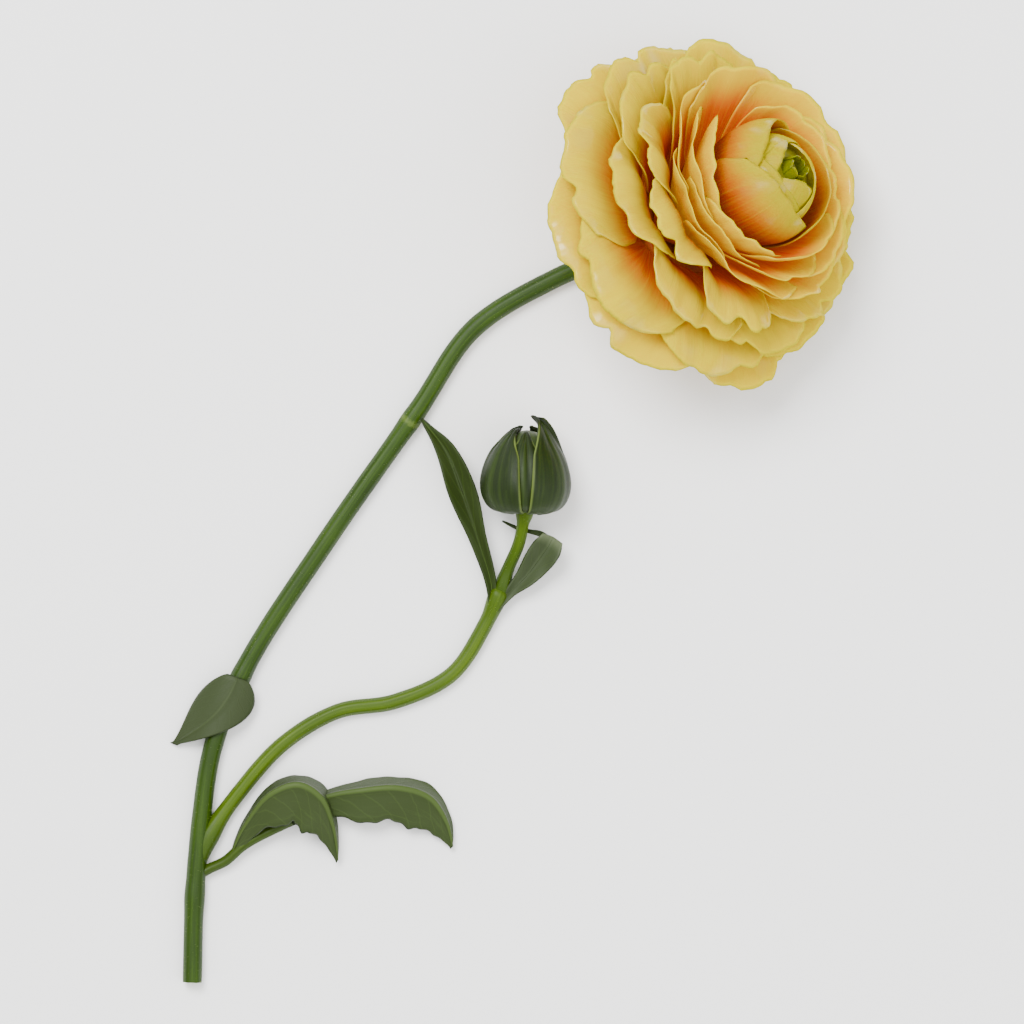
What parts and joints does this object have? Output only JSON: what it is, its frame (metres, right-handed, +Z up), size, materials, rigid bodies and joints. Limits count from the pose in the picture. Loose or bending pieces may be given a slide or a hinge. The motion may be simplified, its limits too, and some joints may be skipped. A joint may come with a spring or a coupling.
{
  "type": "ranunculus flower",
  "caption": "Cut ranunculus lying on its side: open bloom of layered yellow and apricot petals on a curved green stem, with a side shoot that carries a bud and leaves.",
  "frame": {"origin": "middle of the flat spot under the bloom's lower outer petals, on the surface that the flower lies on", "axes": "+Z up from that surface, +Y along the lying flower from the cut end towards the bloom, +X to the side that the bloom faces"},
  "size_m": [0.1234, 0.1696, 0.0416],
  "materials": {
    "outer_petals": "satin living petal tissue, pale lemon yellow at the rim, warmer towards the root, fine lengthwise veins",
    "inner_petals": "satin living petal tissue, apricot orange with a thin yellow rim, deep orange at the root",
    "heart": "smooth closed young petals, pale green-yellow with an orange flank and a green eye",
    "calyx": "soft green sepals, slightly hairy",
    "stem": "smooth fleshy green stem with faint lengthwise ribs and fine hairs",
    "bud": "matt dark green sepals with thin pale margins",
    "shoot_leaf_left": "matt dark green leaf with a paler midrib",
    "shoot_leaf_right": "matt grey-green leaf with a dark tip",
    "stem_bract": "matt grey-green bract with a pale rim",
    "basal_leaf": "matt green leaf with paler veins"
  },
  "bodies": {
    "root": {"outer_petals": "outer_petals", "inner_petals": "inner_petals", "heart": "heart", "calyx": "calyx", "stem": "stem", "bud": "bud", "shoot_leaf_left": "shoot_leaf_left", "shoot_leaf_right": "shoot_leaf_right", "stem_bract": "stem_bract", "basal_leaf": "basal_leaf"}
  },
  "joints": []
}
